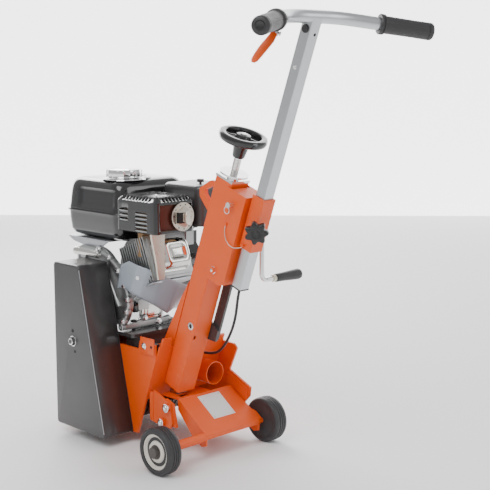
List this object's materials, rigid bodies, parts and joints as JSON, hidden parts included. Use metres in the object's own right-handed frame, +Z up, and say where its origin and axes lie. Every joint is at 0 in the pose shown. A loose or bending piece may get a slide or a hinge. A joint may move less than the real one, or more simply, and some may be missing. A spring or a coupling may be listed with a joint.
{
  "type": "walk-behind concrete scarifier",
  "caption": "Walk-behind concrete floor scarifier: petrol engine, belt-driven cutter drum, leaning mast with height handwheel and folding T-handle.",
  "frame": {"origin": "on the floor below the middle of the machine's footprint box, midway between the two rear wheels", "axes": "+X to the operator's right, +Y forward, away from the operator, +Z up"},
  "size_m": [0.4882, 0.8429, 0.9309],
  "materials": {
    "black_cord": "smooth sheath",
    "black_paint": "gloss black enamel",
    "black_plastic": "moulded satin black",
    "black_rubber": "matt",
    "carbide": "hardened steel",
    "cast_aluminium": "as cast, bead blasted",
    "chrome": "polished chrome",
    "graphite_paint": "satin dark grey enamel",
    "grey_plastic": "satin light grey",
    "orange_paint": "glossy orange enamel",
    "polished_aluminium": "bright",
    "steel": "machined steel",
    "steel_wire": "thin coated wire",
    "tyre_rubber": "matt with fine grooves",
    "white_rim": "off-white moulded nylon",
    "zinc": "bright zinc plate"
  },
  "bodies": {
    "root": {"column": "orange_paint", "column_cap": "zinc", "lifting_eye": "orange_paint", "lever_stay": "graphite_paint", "control_cable": "black_cord", "cable_grommet": "black_rubber", "side_plates": "orange_paint", "drum_housing": "orange_paint", "dust_port": "orange_paint", "guide_plates": "orange_paint", "engine_plate": "orange_paint", "belt_guard": "graphite_paint", "guard_backplate": "graphite_paint", "front_axle": "steel", "drum_bearings": "steel", "belts": "black_rubber", "crankcase": "cast_aluminium", "cylinder": "cast_aluminium", "rocker_cover": "polished_aluminium", "spark_plug": "black_rubber", "cooling_shroud": "grey_plastic", "fan_housing": "black_paint", "recoil_starter": "black_paint", "fuel_tank": "black_paint", "muffler": "black_paint", "exhaust_outlet": "zinc", "carburettor": "cast_aluminium", "air_cleaner": "black_plastic"},
    "lift_lever": {"lift_lever": "zinc", "lift_lever_grip": "black_plastic"},
    "lift_block": {"nut_block": "zinc"},
    "carriage": {"carriage": "orange_paint", "data_plate": "zinc", "push_tube": "steel", "rear_axle": "orange_paint"},
    "handwheel": {"handwheel": "black_plastic", "spindle": "chrome"},
    "rear_wheel_left": {"tyre_left": "tyre_rubber", "rim_left": "white_rim"},
    "rear_wheel_right": {"tyre_right": "tyre_rubber", "rim_right": "white_rim"},
    "front_wheel_left": {"front_wheel_left": "black_rubber"},
    "front_wheel_right": {"front_wheel_right": "black_rubber"},
    "drum": {"drum_shaft": "steel", "drum_body": "steel", "cutters": "carbide"},
    "crank": {"crankshaft": "steel"},
    "handle_bracket": {"handle_bracket": "orange_paint", "pin_lanyard": "steel_wire"},
    "star_knob": {"star_knob": "black_plastic"},
    "lock_pin": {"lock_pin": "zinc"},
    "handle": {"handle_tube": "zinc", "tube_end_cap": "black_plastic", "handlebar": "zinc", "grips": "black_rubber"},
    "stop_lever": {"stop_lever": "orange_paint"},
    "fuel_cap": {"fuel_cap": "chrome"},
    "throttle_lever": {"throttle_lever": "black_plastic"},
    "choke_lever": {"choke_lever": "zinc"},
    "starter_grip": {"starter_grip": "black_plastic"}
  },
  "joints": [
    {"name": "lift_lever", "type": "hinge", "parent": "root", "child": "lift_lever", "pos_m": [0.045, -0.12554, 0.4925], "axis": [-1, 0, 0], "range_deg": [-0.5, 150.5]},
    {"name": "lift_slide", "type": "slide", "parent": "root", "child": "lift_block", "axis": [0, 0.342, -0.9397], "range_m": [0, 0.015]},
    {"name": "carriage_slide", "type": "slide", "parent": "lift_block", "child": "carriage", "axis": [0, 0.342, -0.9397], "range_m": [-0.006, 0.012]},
    {"name": "handwheel_turn", "type": "hinge", "parent": "carriage", "child": "handwheel", "pos_m": [0, -0.11653, 0.66073], "axis": [0, -0.342, 0.9397], "range_deg": [-721, 1441]},
    {"name": "rear_wheel_left_spin", "type": "hinge", "parent": "carriage", "child": "rear_wheel_left", "pos_m": [-0.1544, -0.0415, 0.05], "axis": [1, 0, 0], "continuous": true},
    {"name": "rear_wheel_right_spin", "type": "hinge", "parent": "carriage", "child": "rear_wheel_right", "pos_m": [0.1544, -0.0415, 0.05], "axis": [1, 0, 0], "continuous": true},
    {"name": "front_wheel_left_spin", "type": "hinge", "parent": "root", "child": "front_wheel_left", "pos_m": [-0.044, 0.3835, 0.0375], "axis": [1, 0, 0], "continuous": true},
    {"name": "front_wheel_right_spin", "type": "hinge", "parent": "root", "child": "front_wheel_right", "pos_m": [0.113, 0.3835, 0.0375], "axis": [1, 0, 0], "continuous": true},
    {"name": "drum_spin", "type": "hinge", "parent": "root", "child": "drum", "pos_m": [0.035, 0.2455, 0.095], "axis": [1, 0, 0], "continuous": true},
    {"name": "crank_spin", "type": "hinge", "parent": "root", "child": "crank", "pos_m": [0.008, 0.2845, 0.35], "axis": [1, 0, 0], "continuous": true},
    {"name": "handle_fold", "type": "hinge", "parent": "root", "child": "handle_bracket", "pos_m": [0, -0.06579, 0.41315], "axis": [1, 0, 0], "range_deg": [0, 80], "deforming": ["control_cable"]},
    {"name": "handle_slide", "type": "slide", "parent": "handle_bracket", "child": "handle", "axis": [0, -0.342, 0.9397], "range_m": [0, 0.06], "deforming": ["control_cable"]},
    {"name": "star_knob_turn", "type": "hinge", "parent": "handle_bracket", "child": "star_knob", "pos_m": [-0.0164, -0.18111, 0.50952], "axis": [-0.7071, -0.6645, -0.2418], "range_deg": [0, 720]},
    {"name": "lock_pin_pull", "type": "slide", "parent": "handle_bracket", "child": "lock_pin", "axis": [-1, 0, 0], "range_m": [0, 0.018]},
    {"name": "stop_lever_squeeze", "type": "hinge", "parent": "handle", "child": "stop_lever", "pos_m": [-0.13008, -0.33873, 0.88663], "axis": [-0.5091, 0.8088, 0.2944], "range_deg": [0, 11], "stiffness_Nm_per_rad": 1, "springref_deg": -11.46},
    {"name": "fuel_cap_turn", "type": "hinge", "parent": "root", "child": "fuel_cap", "pos_m": [0.01, 0.2705, 0.59], "axis": [0, 0, 1], "range_deg": [0, 120]},
    {"name": "throttle_swing", "type": "hinge", "parent": "root", "child": "throttle_lever", "pos_m": [0.108, 0.1625, 0.462], "axis": [0, 0, 1], "range_deg": [-25, 6]},
    {"name": "choke_swing", "type": "hinge", "parent": "root", "child": "choke_lever", "pos_m": [0.098, 0.1805, 0.462], "axis": [1, 0, 0], "range_deg": [0, 45]},
    {"name": "starter_pull", "type": "slide", "parent": "root", "child": "starter_grip", "axis": [0, 0, 1], "range_m": [0, 0.05], "stiffness_N_per_m": 60, "springref_m": -0.01}
  ],
  "couplings": [
    {"joint": "lift_lever", "follows": "lift_slide", "rad_per_m": 174.53},
    {"joint": "handwheel_turn", "follows": "carriage_slide", "rad_per_m": 2094.4},
    {"joint": "crank_spin", "follows": "drum_spin", "ratio": 1.1842}
  ]
}
